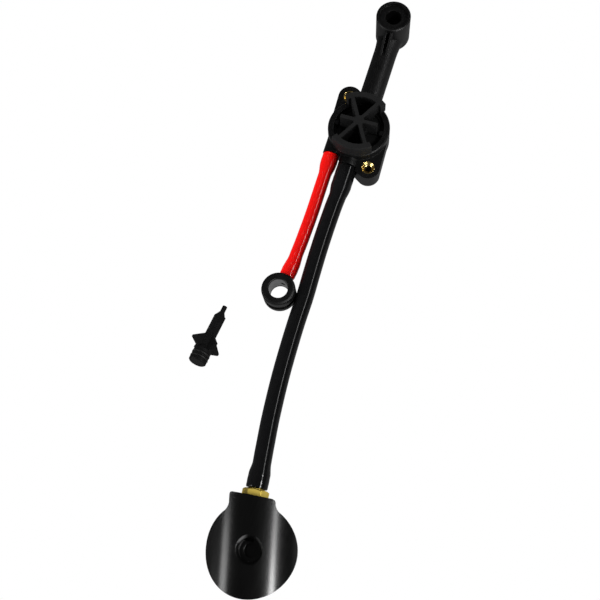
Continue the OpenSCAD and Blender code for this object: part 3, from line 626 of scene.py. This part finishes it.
# %% Table
TABLE_HALF, TABLE_Z = 4.0, -0.0002
table_mesh = bpy.data.meshes.new("table")
table_mesh.from_pydata(
    [(x * TABLE_HALF, y * TABLE_HALF, TABLE_Z) for x, y in ((-1, -1), (1, -1), (1, 1), (-1, 1))],
    [], [(0, 1, 2, 3)],
)
table = bpy.data.objects.new("table", table_mesh)
table.visible_glossy = False
bpy.context.scene.collection.objects.link(table)
table_finish, _, _ = new_finish("table_white", {
    "Base Color": (0, 0, 0, 1), "Specular IOR Level": 0.0,
    "Emission Color": (1, 1, 1, 1), "Emission Strength": 1.0,
})
table.data.materials.append(table_finish)
print("table", tuple(round(x, 2) for x in table.dimensions), "m")

# %% [markdown]
# ## A wall behind the table
# From a low angle the camera looks past the table's edge, where the dim studio would show. A
# larger table never reaches the horizon, so a round white wall stands just inside its edge.
# Only the camera sees it, so it adds nothing to the light on the valve.

# %% Backdrop
WALL_SIDES, WALL_RADIUS, WALL_HEIGHT = 96, 3.9, 4.0
turn = np.arange(WALL_SIDES) * TAU / WALL_SIDES
rim = np.stack([np.cos(turn), np.sin(turn), np.zeros(WALL_SIDES)], axis=-1) * WALL_RADIUS
wall = np.concatenate([rim, rim + (0, 0, WALL_HEIGHT)])
here = np.arange(WALL_SIDES)
after = (here + 1) % WALL_SIDES
wall_faces = np.stack([after, here, here + WALL_SIDES, after + WALL_SIDES], axis=-1)
backdrop_mesh = bpy.data.meshes.new("backdrop")
backdrop_mesh.from_pydata(wall.tolist(), [], wall_faces.tolist())
backdrop = bpy.data.objects.new("backdrop", backdrop_mesh)
backdrop.visible_glossy = backdrop.visible_diffuse = backdrop.visible_shadow = False
bpy.context.scene.collection.objects.link(backdrop)
backdrop.data.materials.append(table_finish)
print("backdrop", len(backdrop_mesh.polygons), "faces")

# %% [markdown]
# ## The lamps
# Black plastic shows its form only through what it reflects. One big soft lamp would grey
# every side, so each lamp has one job. The right strip and the valve strip show only in
# gloss: they draw the right stripe on the cowl and the fine line on the hoses. The left strip
# draws the left stripe. The soft fill works only on matt colour and stands behind the valve,
# so the tops of the handle's ribs come out lighter than the sides that face the camera.


# %% Lamps
def strip_lamp(name, aim, direction, width, length, radiance, distance=1.2, along=(0, 1, 0)):
    """A rectangular lamp at aim + distance * direction, facing the aim, with its length along the
    given line as far as facing allows. Its power is radiance * pi * area."""
    data = bpy.data.lights.new(name, "AREA")
    data.shape = "RECTANGLE"
    data.size, data.size_y = width, length
    data.energy = radiance * math.pi * width * length
    lamp = bpy.data.objects.new(name, data)
    aim, back = Vector(aim) * MM, Vector(direction).normalized()
    across = Vector(along).cross(back).normalized()
    facing = Matrix((across, back.cross(across), back)).transposed()
    lamp.matrix_world = Matrix.Translation(aim + distance * back) @ facing.to_4x4()
    bpy.context.scene.collection.objects.link(lamp)
    return lamp


RIGHT, LEFT, BEHIND = (0.69, 0.0, 0.72), (-0.82, -0.22, 0.55), (-0.4, 0.65, 0.8)
right_lamp = strip_lamp("right_lamp", (0, -490, 10), RIGHT, width=0.2, length=0.8, radiance=36)
valve_lamp = strip_lamp("valve_lamp", (0, 415, 10), RIGHT, width=0.14, length=0.9, radiance=9)
left_lamp = strip_lamp("left_lamp", (10, -490, 10), LEFT, width=0.3, length=0.5, radiance=7.6)
soft_fill = strip_lamp("soft_fill", (0, -100, 10), BEHIND, width=0.8, length=0.7, radiance=6.6)
right_lamp.visible_diffuse = False
valve_lamp.visible_diffuse = False
soft_fill.visible_glossy = False
print("lamps", [lamp.name for lamp in (right_lamp, valve_lamp, left_lamp, soft_fill)])

# %% [markdown]
# ## The room around
# What no lamp reaches mirrors the room. It could be one even grey, but then the cowl's left
# side would be as pale as the valve's walls. So the room is dim above, lighter below the
# horizon in place of the table, and dark again low on the left. Two low bright bands toward
# the camera, one on each side, are there for the brass inserts: their countersinks mirror
# them as two bright crescents.

# %% Room
ROOM_DIM, FLOOR_GLOW, LEFT_LOSS, BAND_GLOW = 0.07, 0.29, 0.25, 3.5
world = bpy.data.worlds.new("studio")
world.use_nodes = True
around = Wire(world.node_tree).node("ShaderNodeTexCoord")
sideways, forward, height = (
    around.node("ShaderNodeSeparateXYZ", None, {0: around}, out=axis) for axis in range(3)
)
to_a_side = around.node("ShaderNodeMath", {"operation": "ABSOLUTE"}, {0: sideways}).over(0.3, 0.6)
low_band = height.over(-0.05, 0.05) - height.over(0.25, 0.4)
bands = to_a_side * forward.over(-0.28, -0.45) * low_band * BAND_GLOW
floor = (1 - height.over(-0.1, 0.1)) * (FLOOR_GLOW - sideways.over(-0.3, -0.6) * LEFT_LOSS)
glow = world.node_tree.nodes["Background"]
world.node_tree.links.new((ROOM_DIM + floor + bands).socket, glow.inputs["Strength"])
glow.inputs["Color"].default_value = (1, 1, 1, 1)
bpy.context.scene.world = world
bpy.context.scene.view_settings.view_transform = "Standard"
print("room", world.name)
